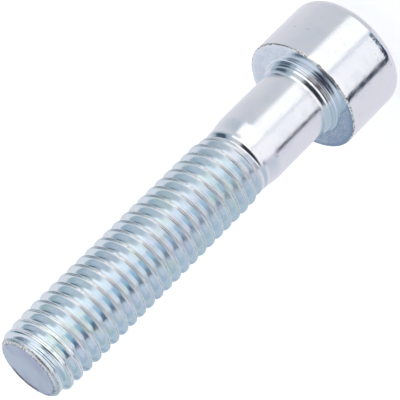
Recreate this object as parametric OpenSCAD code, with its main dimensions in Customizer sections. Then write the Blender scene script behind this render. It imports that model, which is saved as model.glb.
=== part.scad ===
// Hex socket cap screw, M8 x 40, standing on its head.
// The origin is the centre of the head's flat top, which faces down, and +Z runs along the
// axis to the tip. The head, the shank and the neck are turned forms, the socket is a straight
// hexagon, and the right-hand thread is one helical surface with its run-out and its chamfer.

/* [Head] */
// Diameter of the head
head_d = 12.8; // [11:0.1:16]
// Height of the head, from its flat top to the bearing face
head_height = 7.8; // [6.5:0.1:10]
// Radius of the round edge at the head's top
head_edge_r = 1.2; // [0.4:0.1:1.8]
// Radius of the small round edge at the rim of the bearing face
rim_r = 0.15; // [0.05:0.05:0.5]
// How far the collar under the head stands out from the shank
collar_out = 0.45; // [0.2:0.05:0.9]
// How far the collar rises from the bearing face
collar_rise = 0.15; // [0.1:0.05:0.5]
// Radius of the hollow fillet between the collar and the shank
fillet_r = 0.45; // [0.1:0.05:0.8]

/* [Hex socket] */
// Width of the socket across its flats
key_w = 6; // [4:0.1:6.5]
// Depth of the socket's straight walls
socket_depth = 4.3; // [2.5:0.1:4.8]
// Point angle of the cone at the bottom of the socket
socket_cone_angle = 140; // [110:5:170]
// Width of the ledge between the socket's flats and that cone
socket_ledge = 0.15; // [0.05:0.05:0.6]
// Width of the bevel round the socket's mouth, beyond the hexagon's corners
mouth_bevel = 0.15; // [0.05:0.05:0.4]

/* [Shank] */
// Length from the bearing face to the tip
screw_length = 40; // [35:0.5:60]
// How much slimmer the plain shank is than the thread
shank_under = 0.08; // [0.02:0.02:0.4]
// How much slimmer the neck before the thread is than the thread
neck_under = 0.48; // [0.3:0.02:1]
// Length of the neck between the taper and the first trace of thread
neck_length = 0.3; // [0.2:0.1:4]
// Length of the taper from the shank down to the neck
taper_length = 1.4; // [0.4:0.1:2]

/* [Thread] */
// Diameter over the crests of the thread
thread_d = 7.94; // [7:0.02:9]
// Distance from one crest to the next
pitch = 1.25; // [0.9:0.05:1.5]
// Width of the flat on a crest
crest_flat = 0.16; // [0.08:0.01:0.3]
// Width of the flat at the bottom of a groove
root_flat = 0.2; // [0.1:0.01:0.3]
// Angle between the flanks of a groove
flank_angle = 60; // [55:1:65]
// Length of full thread, measured from the tip
thread_length = 28; // [15:0.5:30]
// Length over which the last groove fades into the neck
runout_length = 2.2; // [0.5:0.1:2.5]
// Turn of the helix about the axis
thread_turn = 73; // [0:1:359]
// Number of facets round one turn of the thread
thread_sides = 40; // [24:1:48]

/* [Tip] */
// How far the chamfer at the tip cuts in from the crests
tip_chamfer = 0.56; // [0.4:0.02:1.2]
// Angle of the chamfer to the screw's axis
tip_chamfer_angle = 16; // [10:1:60]

/* [Hidden] */

// Facets of a turned form, and of the round edges in its outline
turned_facets = 64;
edge_facets = 48;
// Step down from the neck's surface to the threaded length, and how far that reaches into the neck
seam_step = 0.015;
seam_reach = 0.3;
// Share of a pitch that points of the thread keep clear of its two ends
end_share = 0.04;
// Laps of the helix beyond each end of the threaded length, where the search for its corners starts
spare_laps = 2;
// Overlap that lets a cut break through a face
through = 0.5;

shank_d = thread_d - shank_under;
neck_d = thread_d - neck_under;

total_length = head_height + screw_length;
thread_low = total_length - thread_length - runout_length;
neck_low = thread_low - neck_length;
taper_low = neck_low - taper_length;

flank_run = (pitch - crest_flat - root_flat) / 2;
thread_depth = flank_run / tan(flank_angle / 2);
crest_r = thread_d / 2;
root_r = crest_r - thread_depth;
blank_r = neck_d / 2 - seam_step;

// The corners of one pitch of the thread, as heights from the start of the root flat
corner_rise = [0, root_flat, root_flat + flank_run, root_flat + flank_run + crest_flat];
corner_r = [root_r, root_r, crest_r, crest_r];
corners = len(corner_rise);

// Height of corner number i of the helix at column k of the thread, and its place in the form
function helix_z(k, i) = let (lap = floor(i / corners))
    pitch * (lap + k / thread_sides - thread_turn / 360) + corner_rise[i - lap * corners];
function form_r(rise) =
    rise < corner_rise[1] ? root_r :
    rise < corner_rise[2] ? root_r + thread_depth * (rise - corner_rise[1]) / flank_run :
    rise < corner_rise[3] ? crest_r :
    crest_r - thread_depth * (rise - corner_rise[3]) / flank_run;

// Share of the full thread form that is reached at a height
function rolled_share(z) = max(0, min(1, (z - thread_low) / runout_length));
// Radius that the tip's chamfer leaves at a height
function chamfer_r(z) =
    crest_r - tip_chamfer + (total_length - z) * tan(tip_chamfer_angle);
// Radius of the threaded length where the plain form has radius r
function thread_r(z, r) = min(chamfer_r(z), blank_r + rolled_share(z) * (r - blank_r));

// First and last corner that column k holds between the two ends of the threaded length
function first_corner(k, i) =
    helix_z(k, i) > thread_low + end_share * pitch ? i : first_corner(k, i + 1);
function last_corner(k, i) =
    helix_z(k, i) < total_length - end_share * pitch ? i : last_corner(k, i - 1);

lowest_guess = corners * (floor(thread_low / pitch) - spare_laps);
highest_guess = corners * (ceil(total_length / pitch) + spare_laps);
firsts = [for (k = [0 : thread_sides - 1]) first_corner(k, lowest_guess)];
lasts = [for (k = [0 : thread_sides - 1]) last_corner(k, highest_guess)];
counts = [for (k = [0 : thread_sides - 1]) lasts[k] - firsts[k] + 1];
// Number of the first point of each column, after the two end rings
starts = [for (k = 0, n = 2 * thread_sides; k < thread_sides; n = n + counts[k], k = k + 1) n];

// The helix climbs one pitch in a turn, so column thread_sides is column 0 one lap further on
function lap_shift(k) = k < thread_sides ? 0 : corners;
function column(k) = k % thread_sides;
function first_of(k) = firsts[column(k)] - lap_shift(k);
function last_of(k) = lasts[column(k)] - lap_shift(k);
function point(k, i) = starts[column(k)] + i + lap_shift(k) - firsts[column(k)];
function low_end(k) = column(k);
function high_end(k) = thread_sides + column(k);

function on_column(k, r, z) =
    let (angle = 360 * k / thread_sides) [r * cos(angle), r * sin(angle), z];
function rise_at(k, z) =
    let (climbed = z - pitch * (k / thread_sides - thread_turn / 360))
    climbed - pitch * floor(climbed / pitch);

// The round body, lying in the plane of its radius and its height

// The hollow corner that a circle of radius r leaves between two walls
module corner_web(r) {
    difference() {
        square(r);
        translate([r, r]) circle(r, $fn = edge_facets);
    }
}

module head_outline() {
    difference() {
        square([head_d / 2, head_height]);
        translate([head_d / 2, 0]) mirror([1, 0]) corner_web(head_edge_r);
        translate([head_d / 2, head_height]) rotate(180) corner_web(rim_r);
    }
}

module stem_outline() {
    collar_top = head_height + collar_rise;
    square([shank_d / 2 + collar_out, collar_top]);
    translate([shank_d / 2, collar_top]) corner_web(min(fillet_r, collar_out));
    polygon([[0, 0], [shank_d / 2, 0], [shank_d / 2, taper_low], [neck_d / 2, neck_low],
        [neck_d / 2, thread_low], [0, thread_low]]);
}

module turned_body() {
    rotate_extrude($fn = turned_facets) {
        head_outline();
        stem_outline();
    }
}

// The threaded length, one closed surface from inside the neck to the flat end face
module threaded_length() {
    low_ring = [for (k = [0 : thread_sides - 1]) on_column(k, blank_r, thread_low - seam_reach)];
    high_ring = [for (k = [0 : thread_sides - 1])
        on_column(k, thread_r(total_length, form_r(rise_at(k, total_length))), total_length)];
    helix = [for (k = [0 : thread_sides - 1]) for (i = [firsts[k] : lasts[k]])
        let (z = helix_z(k, i), r = corner_r[i - corners * floor(i / corners)])
        on_column(k, thread_r(z, r), z)];

    // Between two columns: the part both have, then the fans that close it to the end rings
    bands = [for (k = [0 : thread_sides - 1]) for (i = [first_of(k) : last_of(k + 1) - 1])
        each [[point(k, i), point(k, i + 1), point(k + 1, i + 1)],
            [point(k, i), point(k + 1, i + 1), point(k + 1, i)]]];
    low_fans = [for (k = [0 : thread_sides - 1]) each concat(
        [[low_end(k), point(k + 1, first_of(k + 1)), low_end(k + 1)],
            [low_end(k), point(k, first_of(k)), point(k + 1, first_of(k))]],
        [for (i = [first_of(k + 1) : 1 : first_of(k) - 1])
            [low_end(k), point(k + 1, i + 1), point(k + 1, i)]])];
    high_fans = [for (k = [0 : thread_sides - 1]) each concat(
        [[high_end(k), high_end(k + 1), point(k, last_of(k))],
            [high_end(k + 1), point(k + 1, last_of(k + 1)), point(k, last_of(k + 1))]],
        [for (i = [last_of(k + 1) : 1 : last_of(k) - 1])
            [high_end(k + 1), point(k, i), point(k, i + 1)]])];
    low_face = [[for (k = [0 : thread_sides - 1]) low_end(k)]];
    high_face = [[for (k = [thread_sides - 1 : -1 : 0]) high_end(k)]];

    polyhedron(points = concat(low_ring, high_ring, helix),
        faces = concat(low_face, high_face, bands, low_fans, high_fans));
}

// The hexagon with its pointed bottom and the bevel round its mouth
module hex_socket() {
    corner_d = key_w / cos(30);
    cone_d = key_w - 2 * socket_ledge;
    cone_height = cone_d / 2 / tan(socket_cone_angle / 2);
    bevel_d = corner_d + 2 * mouth_bevel;
    translate([0, 0, -through]) cylinder(d = corner_d, h = socket_depth + through, $fn = 6);
    translate([0, 0, socket_depth - through])
        cylinder(d = cone_d, h = through, $fn = turned_facets);
    translate([0, 0, socket_depth])
        cylinder(d1 = cone_d, d2 = 0, h = cone_height, $fn = turned_facets);
    translate([0, 0, -through])
        cylinder(d1 = bevel_d + 2 * through, d2 = 0, h = bevel_d / 2 + through, $fn = turned_facets);
}

module cap_screw() {
    color([0.80, 0.83, 0.88]) difference() {
        union() {
            turned_body();
            threaded_length();
        }
        hex_socket();
    }
}

cap_screw();
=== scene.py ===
"""Hex socket cap screw, M8 x 40, bright zinc-plated, standing on its head.

The camera looks down on it from the side of its tip and is rolled, so the tip points to the
lower left. All sizes are in metres unless a name ends in deg, px or mm.
"""

import math

import bpy
import numpy as np
from mathutils import Matrix, Vector


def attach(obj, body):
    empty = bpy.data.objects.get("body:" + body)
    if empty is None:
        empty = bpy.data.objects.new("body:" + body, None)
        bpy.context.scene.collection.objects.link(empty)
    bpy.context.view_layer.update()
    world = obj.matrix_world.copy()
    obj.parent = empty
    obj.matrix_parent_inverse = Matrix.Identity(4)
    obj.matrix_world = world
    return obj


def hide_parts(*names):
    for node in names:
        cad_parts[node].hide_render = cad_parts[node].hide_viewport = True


MM = 0.001

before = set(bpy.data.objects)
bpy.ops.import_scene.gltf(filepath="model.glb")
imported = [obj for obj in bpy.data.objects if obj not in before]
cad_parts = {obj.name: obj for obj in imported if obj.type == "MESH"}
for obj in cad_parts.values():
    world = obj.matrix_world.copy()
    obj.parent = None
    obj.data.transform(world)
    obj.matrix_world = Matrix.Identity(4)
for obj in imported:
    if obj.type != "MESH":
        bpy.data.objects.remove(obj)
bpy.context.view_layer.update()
BODY = "root"
NODE = "cap_screw"

# Sizes of the screw, as in the CAD model. The head is a hair slimmer than its 6.4 mm, so that
# it stays inside the flats of the CAD model's circle.
HEAD_R = 6.394 * MM
HEAD_H = 7.8 * MM
HEAD_EDGE_R = 1.2 * MM
RIM_R = 0.15 * MM
SHANK_R = 3.93 * MM
CREST_R = 3.97 * MM
TOTAL = 47.8 * MM
PITCH = 1.25 * MM
THREAD_LENGTH = 28 * MM
RUNOUT = 2.2 * MM
NECK_LENGTH = 0.3 * MM
TAPER_LENGTH = 1.4 * MM
THREAD_TURN_DEG = 73
KEY_W = 6 * MM
SOCKET_DEPTH = 4.3 * MM
SOCKET_CONE_DEG = 140
SOCKET_LEDGE = 0.15 * MM
MOUTH_BEVEL = 0.15 * MM

# The collar under the head has a hollow foot and two steps. Each step is a low straight wall and
# a bend above it, which turns away from the wall and back again by the angle given here.
COLLAR_FOOT_R = 0.22 * MM
COLLAR_WALL = 0.06 * MM
COLLAR_LOW_R = 4.3 * MM
COLLAR_LOW_TURN_DEG = 35
COLLAR_HIGH_R = 4.24 * MM
COLLAR_HIGH_TURN_DEG = 38

# The neck, and how much wider it still is where the thread starts, and how far up that reaches
NECK_R = 3.71 * MM
NECK_FLARE = 0.02 * MM
NECK_FLARE_LENGTH = 0.6 * MM
# The bend from the shank into the neck, as shares of the taper's length and of the drop in radius
TAPER_BEND = [(0.0, 0.0), (0.15, 0.05), (0.5, 0.35), (0.8, 0.62), (1.0, 0.76)]

# The form of the full thread
CREST_FLAT = 0.26 * MM
ROOT_FLAT = 0.15 * MM
FLANK_ANGLE_DEG = 56
# The run-out: how far above the start of the thread its crests and its grooves set in, and over
# what length they grow
CREST_START = 0.9 * MM
CREST_GROWTH = 1.9 * MM
GROOVE_START = 0.15 * MM
GROOVE_GROWTH = 1.8 * MM

# Radii of the flat end face and of the round edge below it, and how far that edge leans outwards
TIP_FACE_R = 3.06 * MM
TIP_EDGE_R = 0.3 * MM
TIP_EDGE_LEAN = 0.1 * MM
TIP_R = TIP_FACE_R + TIP_EDGE_LEAN + TIP_EDGE_R
# The tip trims the crests lap by lap. Their radius grows back in two stretches, each given by
# its growth, its start below the end face and its length.
TIP_LAPS = [(0.42 * MM, 0.2 * MM, 1.5 * MM), (0.11 * MM, 2 * MM, 3 * MM)]

THREAD_LOW = TOTAL - THREAD_LENGTH - RUNOUT
NECK_LOW = THREAD_LOW - NECK_LENGTH
TAPER_LOW = NECK_LOW - TAPER_LENGTH
FLANK_RUN = (PITCH - CREST_FLAT - ROOT_FLAT) / 2
THREAD_DEPTH = FLANK_RUN / math.tan(math.radians(FLANK_ANGLE_DEG / 2))
# Rise of the middle of the crest above the start of the root flat
CREST_MIDDLE = ROOT_FLAT + FLANK_RUN + CREST_FLAT / 2

# Columns of the mesh round the axis, which the hexagon's six sides share out
COLUMNS = 144
# Rows on a straight wall, the distance that they keep from its round ends, and the height of
# the first one on the shank
WALL_ROWS = 12
WALL_MARGIN = 0.4 * MM
SHANK_FIRST_ROW = 9.35 * MM
# Rings on the bearing face, and the distances that they keep from its rim and from the collar
BEARING_ROWS = 6
BEARING_RIM_MARGIN = 0.5 * MM
BEARING_COLLAR_MARGIN = 0.3 * MM
# Steps of the bends, of the round edge of the head, and of its rim
BEND_STEPS = 6
HEAD_EDGE_STEPS = 14
RIM_STEPS = 5
# Margins of the flat top and of the end face, inside their round edges, and of the neck's last
# ring below the thread
TOP_MARGIN = 0.3 * MM
END_MARGIN = 0.16 * MM
NECK_MARGIN = 0.05 * MM
# Share of a pitch that the rows of the thread keep clear of its ends
END_SHARE = 0.02
# Laps of the helix beyond each end, where the search for its rows starts
SPARE_LAPS = 2


def arc(centre_r, centre_z, radius, start_deg, end_deg, steps):
    """Points of an arc in the plane of radius and height."""
    angles = np.radians(np.linspace(start_deg, end_deg, steps + 1))
    return [(centre_r + radius * math.cos(a), centre_z + radius * math.sin(a)) for a in angles]


def double_bend(outer_r, inner_r, start_z, turn_deg):
    """Points of a round shoulder that goes over into a hollow of the same radius."""
    turn = math.radians(turn_deg)
    bend_r = (outer_r - inner_r) / 2 / (1 - math.cos(turn))
    end_z = start_z + 2 * bend_r * math.sin(turn)
    shoulder = arc(outer_r - bend_r, start_z, bend_r, 0, turn_deg, BEND_STEPS)
    hollow = arc(inner_r + bend_r, end_z, bend_r, 180 + turn_deg, 180, BEND_STEPS)
    return shoulder + hollow[1:]


def collar_profile():
    """Radius and height of the collar, from the bearing face up to the shank."""
    low_start = HEAD_H + COLLAR_FOOT_R
    foot = arc(COLLAR_LOW_R + COLLAR_FOOT_R, low_start, COLLAR_FOOT_R, -90, -180, BEND_STEPS)
    low = double_bend(COLLAR_LOW_R, COLLAR_HIGH_R, low_start + COLLAR_WALL, COLLAR_LOW_TURN_DEG)
    high_start = low[-1][1]
    high = double_bend(COLLAR_HIGH_R, SHANK_R, high_start + COLLAR_WALL, COLLAR_HIGH_TURN_DEG)
    return foot + low + high


def head_and_shank_profile():
    """Radius and height of the turned surface, from the flat top to the start of the thread."""
    head_wall = np.linspace(HEAD_EDGE_R + WALL_MARGIN, HEAD_H - RIM_R - WALL_MARGIN, WALL_ROWS)
    bearing_face = np.linspace(HEAD_R - BEARING_RIM_MARGIN, COLLAR_LOW_R + BEARING_COLLAR_MARGIN,
                               BEARING_ROWS)
    shank_wall = np.linspace(SHANK_FIRST_ROW, TAPER_LOW - WALL_MARGIN, WALL_ROWS)
    points = arc(HEAD_R - HEAD_EDGE_R, HEAD_EDGE_R, HEAD_EDGE_R, -90, 0, HEAD_EDGE_STEPS)
    points += [(HEAD_R, z) for z in head_wall]
    points += arc(HEAD_R - RIM_R, HEAD_H - RIM_R, RIM_R, 0, 90, RIM_STEPS)
    points += [(r, HEAD_H) for r in bearing_face]
    points += collar_profile()
    points += [(SHANK_R, z) for z in shank_wall]
    points += [(SHANK_R - drop * (SHANK_R - NECK_R), TAPER_LOW + along * TAPER_LENGTH)
               for along, drop in TAPER_BEND]
    points += [(NECK_R + NECK_FLARE, THREAD_LOW - NECK_MARGIN)]
    return points


def thread_form():
    """Rise within one pitch and share of the depth, at the rows of the helix.

    The root is rounded, the flanks are straight, and a rolled crest has two round lips with a
    fine seam between them. The lips are given as offsets from the crest's two edges inwards,
    and the seam as offsets from its middle.
    """
    crest_start = ROOT_FLAT + FLANK_RUN
    crest_end = crest_start + CREST_FLAT
    flank = (0.14, 0.38, 0.62, 0.86)
    lip = [(-0.02 * MM, 0.95), (0.02 * MM, 0.985), (0.06 * MM, 1.0)]
    seam = [(-0.03 * MM, 0.985), (0.0, 0.9), (0.03 * MM, 0.985)]
    form = [(0.0, 0.04), (ROOT_FLAT / 2, 0.0), (ROOT_FLAT, 0.04)]
    form += [(ROOT_FLAT + FLANK_RUN * share, share) for share in flank]
    form += [(crest_start + offset, share) for offset, share in lip]
    form += [(CREST_MIDDLE + offset, share) for offset, share in seam]
    form += [(crest_end - offset, share) for offset, share in reversed(lip)]
    form += [(crest_end + FLANK_RUN * (1 - share), share) for share in reversed(flank)]
    return form


THREAD_FORM = thread_form()
ROWS = len(THREAD_FORM)


def smooth_step(x):
    """0 up to x = 0, 1 from x = 1, and a smooth rise between them."""
    x = min(1.0, max(0.0, x))
    return x * x * (3 - 2 * x)


def edge_radius(below):
    """Radius that the round edge of the end face leaves at a distance below it."""
    share = min(1.0, below / TIP_EDGE_R)
    if share == 1.0:
        return CREST_R
    return TIP_FACE_R + TIP_EDGE_LEAN * share + TIP_EDGE_R * math.sqrt(1 - (1 - share) ** 2)


def lap_radius(below):
    """Radius to which the tip trims the crest of a lap whose middle lies below the end face."""
    return TIP_R + sum(growth * smooth_step((below - start) / length)
                       for growth, start, length in TIP_LAPS)


def thread_radius(z, rise, share):
    """Radius of the threaded length at a rise within its pitch, with that share of the depth."""
    past = z - THREAD_LOW
    neck = NECK_R + NECK_FLARE * (1 - smooth_step(past / NECK_FLARE_LENGTH))
    crest = neck + smooth_step((past - CREST_START) / CREST_GROWTH) * (CREST_R - NECK_R)
    depth = THREAD_DEPTH * smooth_step((past - GROOVE_START) / GROOVE_GROWTH)
    trimmed = lap_radius(TOTAL - (z - rise + CREST_MIDDLE))
    return min(crest - depth * (1 - share), trimmed, edge_radius(TOTAL - z))


def column_angle(k):
    """Angle of column k round the axis."""
    return 2 * math.pi * k / COLUMNS


class Mesh:
    """Points and faces of one mesh round the axis, put together one by one."""

    def __init__(self):
        self.points = []
        self.faces = []

    def add(self, angle, r, z):
        """Adds the point at an angle, a radius and a height, and returns its number."""
        self.points.append((r * math.cos(angle), r * math.sin(angle), z))
        return len(self.points) - 1

    def ring(self, radius, z):
        """A closed ring of points. Its radius and its height may be functions of the angle."""
        numbers = []
        for k in range(COLUMNS):
            angle = column_angle(k)
            r = radius(angle) if callable(radius) else radius
            height = z(angle) if callable(z) else z
            numbers.append(self.add(angle, r, height))
        return numbers

    def bridge(self, low, high):
        """Quads between two rings, facing outwards when high is further along the surface."""
        for k in range(COLUMNS):
            n = (k + 1) % COLUMNS
            self.faces.append((low[k], low[n], high[n], high[k]))

    def fan(self, ring, z, flip):
        """Closes a ring with triangles to a point on the axis, facing down if flip is set."""
        centre = self.add(0, 0, z)
        for k in range(COLUMNS):
            n = (k + 1) % COLUMNS
            self.faces.append((ring[n], ring[k], centre) if flip else (ring[k], ring[n], centre))


def row_height(k, i):
    """Height of row number i of the helix at column k."""
    lap, row = divmod(i, ROWS)
    return PITCH * (lap + k / COLUMNS - THREAD_TURN_DEG / 360) + THREAD_FORM[row][0]


def end_face_radius(angle):
    """Radius of the edge of the end face, where the helix runs out into it."""
    climbed = (TOTAL - PITCH * (angle / (2 * math.pi) - THREAD_TURN_DEG / 360)) % PITCH
    rises = [rise for rise, _ in THREAD_FORM] + [PITCH]
    shares = [share for _, share in THREAD_FORM] + [THREAD_FORM[0][1]]
    return thread_radius(TOTAL, climbed, float(np.interp(climbed, rises, shares)))


def add_thread(mesh, low_ring):
    """The threaded length: rows along the helix, closed at both ends by short fans.

    Returns the ring round the end face.
    """
    lowest = ROWS * (int(THREAD_LOW / PITCH) - SPARE_LAPS)
    highest = ROWS * (int(TOTAL / PITCH) + SPARE_LAPS + 1)
    low_limit = THREAD_LOW + END_SHARE * PITCH
    high_limit = TOTAL - END_SHARE * PITCH
    numbers = {}
    spans = []
    for k in range(COLUMNS):
        inside = [i for i in range(lowest, highest) if low_limit < row_height(k, i) < high_limit]
        spans.append((inside[0], inside[-1]))
        for i in inside:
            z = row_height(k, i)
            r = thread_radius(z, *THREAD_FORM[i % ROWS])
            numbers[k, i] = mesh.add(column_angle(k), r, z)

    # The helix climbs one pitch in a turn, so the column after the last is the first, a lap on
    def place(k, i):
        return numbers[0, i + ROWS] if k == COLUMNS else numbers[k, i]

    def span(k):
        if k < COLUMNS:
            return spans[k]
        return spans[0][0] - ROWS, spans[0][1] - ROWS

    high_ring = mesh.ring(end_face_radius, TOTAL)
    for k in range(COLUMNS):
        n = (k + 1) % COLUMNS
        first, last = span(k)
        next_first, next_last = span(k + 1)
        for i in range(first, next_last):
            mesh.faces.append((place(k, i), place(k + 1, i), place(k + 1, i + 1), place(k, i + 1)))
        mesh.faces.append((low_ring[k], low_ring[n], place(k + 1, next_first)))
        for i in range(next_first, first):
            mesh.faces.append((low_ring[k], place(k + 1, i), place(k + 1, i + 1)))
        mesh.faces.append((low_ring[k], place(k + 1, first), place(k, first)))
        mesh.faces.append((place(k, next_last), place(k + 1, next_last), high_ring[n]))
        for i in range(next_last, last):
            mesh.faces.append((place(k, i), high_ring[n], place(k, i + 1)))
        mesh.faces.append((place(k, last), high_ring[n], high_ring[k]))
    return high_ring


def hexagon_r(across_flats):
    """Radius of a hexagon with a corner on +X, as a function of the angle."""
    side = math.pi / 3

    def radius(angle):
        within = angle % side - side / 2
        return across_flats / 2 / math.cos(within)

    return radius


def add_socket(mesh, top_inner_r):
    """The hex socket from the head's flat top inwards. Returns the ring on the flat top."""
    hexagon = hexagon_r(KEY_W)
    bevel_r = KEY_W / 2 / math.cos(math.pi / 6) + MOUTH_BEVEL
    foot_r = KEY_W / 2 - SOCKET_LEDGE
    cone_depth = foot_r / math.tan(math.radians(SOCKET_CONE_DEG / 2))
    top = mesh.ring(top_inner_r, 0)
    mouth = mesh.ring(bevel_r, 0)
    # The bevel is a cone of 45 degrees, so it reaches deeper where the flats are nearer the axis
    lip = mesh.ring(hexagon, lambda angle: bevel_r - hexagon(angle))
    wall = mesh.ring(hexagon, SOCKET_DEPTH)
    foot = mesh.ring(foot_r, SOCKET_DEPTH)
    rings = [top, mouth, lip, wall, foot]
    for outer, inner in zip(rings, rings[1:]):
        mesh.bridge(inner, outer)
    mesh.fan(foot, SOCKET_DEPTH + cone_depth, flip=True)
    return top


def build_screw():
    mesh = Mesh()
    ring = add_socket(mesh, HEAD_R - HEAD_EDGE_R - TOP_MARGIN)
    for r, z in head_and_shank_profile():
        following = mesh.ring(r, z)
        mesh.bridge(ring, following)
        ring = following
    end = add_thread(mesh, ring)
    end_inner = mesh.ring(TIP_FACE_R - END_MARGIN, TOTAL)
    mesh.bridge(end, end_inner)
    mesh.fan(end_inner, TOTAL, flip=False)

    data = bpy.data.meshes.new("screw_body")
    data.from_pydata(mesh.points, [], mesh.faces)
    data.validate()
    data.update()
    data.shade_smooth()
    screw = bpy.data.objects.new("screw_body", data)
    bpy.context.scene.collection.objects.link(screw)
    return screw


class Graph:
    """Short calls for the shader nodes of one material or world."""

    def __init__(self, tree):
        self.tree = tree

    def node(self, kind, inputs=None, **settings):
        made = self.tree.nodes.new(kind)
        for name, value in settings.items():
            setattr(made, name, value)
        for name, value in (inputs or {}).items():
            self.feed(made.inputs[name], value)
        return made

    def feed(self, socket, value):
        """Links a socket to another node's output, or sets it to a plain value."""
        if isinstance(value, bpy.types.NodeSocket):
            self.tree.links.new(value, socket)
        else:
            socket.default_value = value

    def math(self, operation, *values):
        made = self.node("ShaderNodeMath", operation=operation)
        for socket, value in zip(made.inputs, values):
            self.feed(socket, value)
        return made.outputs[0]

    def product(self, first, *others):
        """All the values multiplied."""
        result = first
        for value in others:
            result = self.math("MULTIPLY", result, value)
        return result

    def ramp(self, value, start, end, low=0.0, high=1.0):
        """Smooth change from low to high while value goes from start to end."""
        made = self.node("ShaderNodeMapRange", {
            "Value": value, "From Min": start, "From Max": end, "To Min": low, "To Max": high,
        }, interpolation_type="SMOOTHSTEP")
        return made.outputs["Result"]

    def band(self, value, start, end, soft):
        """1 between start and end and 0 outside, with edges soft wide."""
        rise = self.ramp(value, start - soft / 2, start + soft / 2)
        fall = self.ramp(value, end - soft / 2, end + soft / 2, 1.0, 0.0)
        return self.product(rise, fall)

    def mix(self, share, a, b):
        """Colour a with a share of colour b over it."""
        made = self.node("ShaderNodeMix", data_type="RGBA")
        for number, value in ((0, share), (6, a), (7, b)):
            self.feed(made.inputs[number], value)
        return made.outputs[2]

    def noise(self, place, scale, detail=2.0, roughness=0.5, shift=0.0):
        """Noise in the object's space, shifted so that two noises don't run alike."""
        if shift:
            place = self.node("ShaderNodeVectorMath", {0: place, 1: (shift, shift, shift)},
                              operation="ADD").outputs["Vector"]
        made = self.node("ShaderNodeTexNoise", {
            "Vector": place, "Scale": scale, "Detail": detail, "Roughness": roughness,
        })
        return made.outputs["Fac"]

    def bump(self, height, distance, below=None):
        """Normal of a surface with bumps, on the normal of the bumps below them."""
        inputs = {"Height": height, "Strength": 1.0, "Distance": distance}
        if below is not None:
            inputs["Normal"] = below
        return self.node("ShaderNodeBump", inputs).outputs["Normal"]


# Tints of the passivated zinc, and of the reflections painted on it
PALE_TINT = (0.86, 0.87, 0.91, 1)
GROOVE_TINT = (0.81, 0.88, 0.93, 1)
CREST_TINT = (0.92, 0.935, 0.95, 1)
SEAM_TINT = (0.30, 0.30, 0.34, 1)
UNDERSIDE_TINT = (0.78, 0.85, 0.92, 1)
END_TINT = (0.74, 0.81, 0.885, 1)
END_PATCH_TINT = (0.64, 0.67, 0.79, 1)
GREENISH_TINT = (0.80, 0.88, 0.84, 1)
LAVENDER_TINT = (0.80, 0.80, 0.90, 1)
CREAM_TINT = (0.95, 0.90, 0.84, 1)
# Dark specks of wear, and the dark reflections painted at the edges of the end face and head
DARK_WEAR_AND_REFLECTION_TINT = (0.16, 0.13, 0.14, 1)
# Dark reddish reflection painted on the near side of the collar
REDDISH_REFLECTION_TINT = (0.42, 0.24, 0.22, 1)

# Scales of the noises, in waves per metre
PATCH_SCALE = 300
CLOUD_SCALE = 420
POLISH_SCALE = 900
WAVE_SCALE = 1500
PIT_SCALE = 2600
SPECK_SCALE = 5200
GRAIN_SCALE = 6500
BUMP_HEIGHT = 0.006 * MM

# Roughness of the plating: its range in patches, what all above the collar adds, what the thread
# adds at its start and at the tip, and that of the end face with its round edge
POLISHED = (0.10, 0.17)
STEM_ADDS = 0.06
THREAD_ADDS = (0.06, -0.03)
END_ROUGHNESS = 0.42


class Surface:
    """Where a point of the screw lies, as outputs of nodes that the whole material shares."""

    def __init__(self, graph):
        self.point = graph.node("ShaderNodeTexCoord").outputs["Object"]
        axes = graph.node("ShaderNodeSeparateXYZ", {"Vector": self.point}).outputs
        self.x = axes["X"]
        self.y = axes["Y"]
        self.height = axes["Z"]
        flat = graph.node("ShaderNodeCombineXYZ", {"X": self.x, "Y": self.y}).outputs["Vector"]
        length = graph.node("ShaderNodeVectorMath", {0: flat}, operation="LENGTH")
        self.radius = length.outputs["Value"]

        # Rise within one pitch of the thread, from 0 to 1
        turn = graph.math("DIVIDE", graph.math("ARCTAN2", self.y, self.x), 2 * math.pi)
        laps = graph.math("SUBTRACT", graph.math("DIVIDE", self.height, PITCH), turn)
        self.within = graph.math("FRACT", graph.math("ADD", laps, THREAD_TURN_DEG / 360))

        self.threaded = graph.ramp(self.height, THREAD_LOW + 1.2 * MM, THREAD_LOW + 3 * MM)
        self.at_end = graph.ramp(self.height, TOTAL - 0.03 * MM, TOTAL - 0.005 * MM)
        self.near_side = graph.math("LESS_THAN", self.y, 0.0)
        self.patches = graph.noise(self.point, PATCH_SCALE, 3, shift=0.031)
        self.specks = graph.noise(self.point, SPECK_SCALE, shift=0.011)


def plating_tint(graph, surface):
    """Tints of the head with its underside, the shank and the thread, with faint patches."""
    crest_start = (CREST_MIDDLE - CREST_FLAT / 2) / PITCH
    crest_end = (CREST_MIDDLE + CREST_FLAT / 2) / PITCH
    under_head = graph.band(surface.height, HEAD_H - 0.1 * MM, HEAD_H + 0.06 * MM, 0.06 * MM)
    on_crest = graph.band(surface.within, crest_start, crest_end, 0.05)
    tint = graph.mix(under_head, PALE_TINT, UNDERSIDE_TINT)
    tint = graph.mix(surface.threaded, tint, graph.mix(on_crest, GROOVE_TINT, CREST_TINT))
    green = graph.ramp(graph.noise(surface.point, CLOUD_SCALE, 3), 0.5, 0.68, 0.0, 0.7)
    green = graph.product(green, graph.math("MAXIMUM", surface.threaded, 0.3))
    tint = graph.mix(green, tint, GREENISH_TINT)
    violet = graph.ramp(surface.patches, 0.5, 0.66, 0.0, 0.35)
    return graph.mix(violet, tint, LAVENDER_TINT)


def add_seam(graph, surface, tint):
    """The fine seam along each crest, as a broken dark line."""
    middle = CREST_MIDDLE / PITCH
    seam = graph.band(surface.within, middle - 0.02, middle + 0.02, 0.03)
    broken = graph.ramp(surface.specks, 0.42, 0.56)
    return graph.mix(graph.product(seam, surface.threaded, broken), tint, SEAM_TINT)


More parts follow.
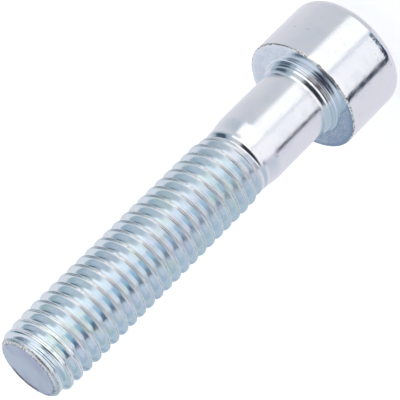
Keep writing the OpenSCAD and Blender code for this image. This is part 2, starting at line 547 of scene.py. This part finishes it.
def add_worn_rims(graph, surface, tint):
    """Cream metal with dark specks, on the rim of the head and weaker on the rim of the tip."""
    below_end = graph.ramp(surface.height, TOTAL - 0.4 * MM, TOTAL - 0.2 * MM)
    tip_rim = graph.math("SUBTRACT", below_end, surface.at_end)
    head_rim = graph.product(
        graph.ramp(surface.radius, HEAD_R - 0.2 * MM, HEAD_R - 0.12 * MM),
        graph.band(surface.height, HEAD_H - 0.2 * MM, HEAD_H + 0.1 * MM, 0.06 * MM))
    rims = graph.math("MAXIMUM", graph.product(tip_rim, 0.6), head_rim)
    tint = graph.mix(graph.product(rims, 0.7), tint, CREAM_TINT)
    specks = graph.ramp(surface.specks, 0.5, 0.62, 0.0, 0.8)
    return graph.mix(graph.product(rims, specks), tint, DARK_WEAR_AND_REFLECTION_TINT)


def add_pits(graph, surface, tint):
    """Sparse dark pits all over."""
    pits = graph.noise(surface.point, PIT_SCALE, 4, 0.7, shift=0.023)
    return graph.mix(graph.ramp(pits, 0.63, 0.72, 0.0, 0.55), tint, SEAM_TINT)


def add_end_face(graph, surface, tint):
    """Mottled end face, specks along its edge, and a dark reflection painted on its far edge."""
    mottled = graph.mix(graph.ramp(surface.patches, 0.4, 0.62), END_TINT, END_PATCH_TINT)
    tint = graph.mix(surface.at_end, tint, mottled)
    specks = graph.product(
        surface.at_end,
        graph.ramp(surface.radius, TIP_FACE_R - END_MARGIN, TIP_FACE_R - 0.02 * MM),
        graph.ramp(surface.specks, 0.46, 0.58, 0.0, 0.85))
    tint = graph.mix(specks, tint, DARK_WEAR_AND_REFLECTION_TINT)
    # A dark reflection painted on a stretch of the far edge of the end face
    painted_reflection = graph.product(
        graph.ramp(surface.y, 1.2 * MM, 2.2 * MM),
        graph.band(surface.x, -1.9 * MM, 1.1 * MM, 0.6 * MM),
        graph.ramp(surface.radius, TIP_FACE_R - 0.6 * MM, TIP_FACE_R - 0.3 * MM),
        surface.at_end,
        graph.ramp(surface.specks, 0.4, 0.55, 0.5, 1.0))
    return graph.mix(painted_reflection, tint, DARK_WEAR_AND_REFLECTION_TINT)


def add_painted_collar_reflection(graph, surface, tint):
    """A dark reddish reflection painted as a spot on the near side of the collar."""
    reddish_reflection = graph.product(
        graph.band(surface.x, -0.85 * MM, -0.25 * MM, 0.3 * MM),
        graph.band(surface.height, HEAD_H + 0.22 * MM, HEAD_H + 0.5 * MM, 0.16 * MM),
        surface.near_side,
        0.7)
    return graph.mix(reddish_reflection, tint, REDDISH_REFLECTION_TINT)


def add_painted_head_edge_reflection(graph, surface, tint):
    """A painted dark reflection where the wall of the head goes over into its round edge."""
    # Painted dark reflection on the near side of the head's round edge, broken up by specks
    painted_reflection = graph.product(
        graph.band(surface.height, HEAD_EDGE_R - 0.2 * MM, HEAD_EDGE_R + 0.2 * MM, 0.12 * MM),
        graph.band(surface.x, -3.1 * MM, -0.4 * MM, 0.4 * MM),
        surface.near_side,
        graph.ramp(surface.specks, 0.38, 0.56, 0.25, 1.0))
    return graph.mix(painted_reflection, tint, DARK_WEAR_AND_REFLECTION_TINT)


def plating_bumps(graph, surface):
    """Fine grain that breaks up the edges of reflections, with soft waves."""
    grain = graph.bump(graph.noise(surface.point, GRAIN_SCALE), BUMP_HEIGHT)
    return graph.bump(graph.noise(surface.point, WAVE_SCALE), BUMP_HEIGHT, below=grain)


def plating_roughness(graph, surface):
    """Polished in patches, duller above the collar and most so at the end face."""
    patchy = graph.ramp(graph.noise(surface.point, POLISH_SCALE), 0.35, 0.7, *POLISHED)
    on_stem = graph.ramp(surface.height, HEAD_H + 0.5 * MM, HEAD_H + 0.9 * MM)
    stem_more = graph.product(on_stem, STEM_ADDS)
    along_thread = graph.ramp(surface.height, THREAD_LOW, TOTAL, *THREAD_ADDS)
    thread_more = graph.product(surface.threaded, along_thread)
    roughness = graph.math("ADD", patchy, graph.math("ADD", stem_more, thread_more))
    near_end = graph.ramp(surface.height, TOTAL - 0.65 * MM, TOTAL - 0.4 * MM, 0.0, END_ROUGHNESS)
    return graph.math("MAXIMUM", roughness, near_end)


def zinc_material():
    material = bpy.data.materials.new("zinc_plating")
    material.use_nodes = True
    graph = Graph(material.node_tree)
    surface = Surface(graph)
    tint = plating_tint(graph, surface)
    for add_detail in (add_seam, add_worn_rims, add_pits, add_end_face, add_painted_collar_reflection,
                       add_painted_head_edge_reflection):
        tint = add_detail(graph, surface, tint)
    shader = material.node_tree.nodes["Principled BSDF"]
    shader.inputs["Metallic"].default_value = 1.0
    graph.feed(shader.inputs["Base Color"], tint)
    graph.feed(shader.inputs["Normal"], plating_bumps(graph, surface))
    graph.feed(shader.inputs["Roughness"], plating_roughness(graph, surface))
    return material


# The camera was fitted to the outline of the screw in the photo, with the image 400 px wide
FOCAL_PX = 2228.7
IMAGE_PX = 400
SENSOR_MM = 36
CAMERA_BACK = 190.15 * MM
CAMERA_UP = 115.89 * MM
AIM = Vector((-0.145 * MM, 0, 23.635 * MM))
CAMERA_ROLL_DEG = -135
# The range of distances that the camera sees
NEAREST = 0.01
FURTHEST = 20


def add_camera():
    data = bpy.data.cameras.new("camera")
    data.sensor_fit = "HORIZONTAL"
    data.sensor_width = SENSOR_MM
    data.lens = FOCAL_PX / IMAGE_PX * SENSOR_MM
    data.clip_start = NEAREST
    data.clip_end = FURTHEST
    camera = bpy.data.objects.new("camera", data)
    place = Vector((0, -CAMERA_BACK, CAMERA_UP))
    level = (AIM - place).to_track_quat("-Z", "Y").to_matrix().to_4x4()
    roll = Matrix.Rotation(math.radians(CAMERA_ROLL_DEG), 4, "Z")
    camera.matrix_world = Matrix.Translation(place) @ level @ roll
    bpy.context.scene.collection.objects.link(camera)
    bpy.context.scene.camera = camera


# The floor: half its width, its colour, and the glow that makes it white to the camera alone
FLOOR_HALF = 2.0
FLOOR_COLOUR = (0.8, 0.8, 0.8, 1)
FLOOR_GLOW = 0.6


def add_floor():
    data = bpy.data.meshes.new("floor")
    corners = [(x * FLOOR_HALF, y * FLOOR_HALF, 0) for x, y in ((-1, -1), (1, -1), (1, 1), (-1, 1))]
    data.from_pydata(corners, [], [(0, 1, 2, 3)])
    floor = bpy.data.objects.new("floor", data)
    floor.visible_glossy = False
    material = bpy.data.materials.new("floor")
    material.use_nodes = True
    graph = Graph(material.node_tree)
    shader = material.node_tree.nodes["Principled BSDF"]
    shader.inputs["Base Color"].default_value = FLOOR_COLOUR
    shader.inputs["Emission Color"].default_value = (1, 1, 1, 1)
    camera_ray = graph.node("ShaderNodeLightPath").outputs["Is Camera Ray"]
    graph.feed(shader.inputs["Emission Strength"], graph.product(camera_ray, FLOOR_GLOW))
    data.materials.append(material)
    bpy.context.scene.collection.objects.link(floor)


# What the polished surface mirrors in the studio, as cards: azimuth and elevation, each from,
# to and the softness of its edges, and colour. Azimuth is 0 towards the camera's side of the
# screw and grows to the right, and all angles are in degrees.
STUDIO_CARDS = [
    ("blue room on the left", (-178, -66, 20), (-18, 48, 16), (0.50, 0.60, 0.68)),
    ("wall behind on the left", (180, 199, 3), (6, 46, 12), (0.24, 0.31, 0.42)),
    ("blue room on the right", (62, 134, 12), (-16, 46, 16), (0.42, 0.53, 0.60)),
    ("wall behind on the right", (140, 179, 16), (-60, 62, 16), (0.80, 0.81, 0.86)),
    ("right softbox", (-3, 41, 8), (-50, -20, 4), (1.18, 1.18, 1.18)),
    ("wide part of the right softbox", (-3, 60, 8), (-20, 14, 5), (1.32, 1.32, 1.32)),
    ("gap between the softboxes", (-9, -3, 4), (-50, 14, 4), (0.80, 0.83, 0.88)),
    ("left softbox", (-57, -9, 5), (-35, 14, 4), (1.07, 1.07, 1.08)),
    ("edge of the table", (-62, -6, 6), (-54, -35, 4), (0.40, 0.62, 0.78)),
    ("near edge of the table", (-70, -40, 10), (-54, -35, 4), (0.03, 0.12, 0.24)),
    ("stand on the left", (-69, -58.5, 4), (-54, -20, 6), (0.03, 0.05, 0.08)),
    ("arm over the screw", (-62, 25, 8), (46, 100, 8), (0.10, 0.12, 0.17)),
    ("end of the arm", (165, 200, 10), (64, 100, 8), (0.10, 0.12, 0.17)),
    ("camera", (-62, 25, 8), (13, 50, 8), (0.025, 0.03, 0.04)),
    ("doorway on the right", (80, 118, 12), (4, 40, 12), (0.06, 0.09, 0.13)),
]
# The room behind the cards: its left, its middle, its right and its ceiling
ROOM_LEFT = (0.80, 0.79, 0.85, 1)
ROOM_MIDDLE = (0.64, 0.67, 0.71, 1)
ROOM_RIGHT = (0.76, 0.76, 0.80, 1)
CEILING = (0.95, 1.0, 1.05, 1)


def add_world():
    world = bpy.data.worlds.new("studio")
    bpy.context.scene.world = world
    world.use_nodes = True
    graph = Graph(world.node_tree)
    background = world.node_tree.nodes["Background"]
    ray = graph.node("ShaderNodeTexCoord").outputs["Generated"]
    axes = graph.node("ShaderNodeSeparateXYZ", {"Vector": ray}).outputs
    to_camera = graph.math("MULTIPLY", axes["Y"], -1.0)
    azimuth = graph.math("DEGREES", graph.math("ARCTAN2", axes["X"], to_camera))
    # The back is at 180, and -170 is also read as 190 by the cards that reach over it
    is_left = graph.math("LESS_THAN", azimuth, 0.0)
    behind = graph.math("ADD", azimuth, graph.math("MULTIPLY", is_left, 360.0))
    elevation = graph.math("DEGREES", graph.math("ARCSINE", axes["Z"]))

    colour = graph.mix(graph.ramp(azimuth, -60, 20), ROOM_LEFT, ROOM_MIDDLE)
    colour = graph.mix(graph.ramp(azimuth, 60, 140), colour, ROOM_RIGHT)
    colour = graph.mix(graph.ramp(elevation, 30, 80), colour, CEILING)
    for _, across, up, tint in STUDIO_CARDS:
        turn = behind if across[1] > 180 else azimuth
        share = graph.product(graph.band(turn, *across), graph.band(elevation, *up))
        colour = graph.mix(share, colour, (*tint, 1))
    camera_ray = graph.node("ShaderNodeLightPath").outputs["Is Camera Ray"]
    colour = graph.mix(camera_ray, colour, (1, 1, 1, 1))
    graph.feed(background.inputs["Color"], colour)
    background.inputs["Strength"].default_value = 1.0


screw = build_screw()
screw.data.materials.append(zinc_material())
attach(screw, BODY)
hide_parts(NODE)

add_camera()
add_floor()
add_world()
bpy.context.scene.view_settings.view_transform = "Standard"
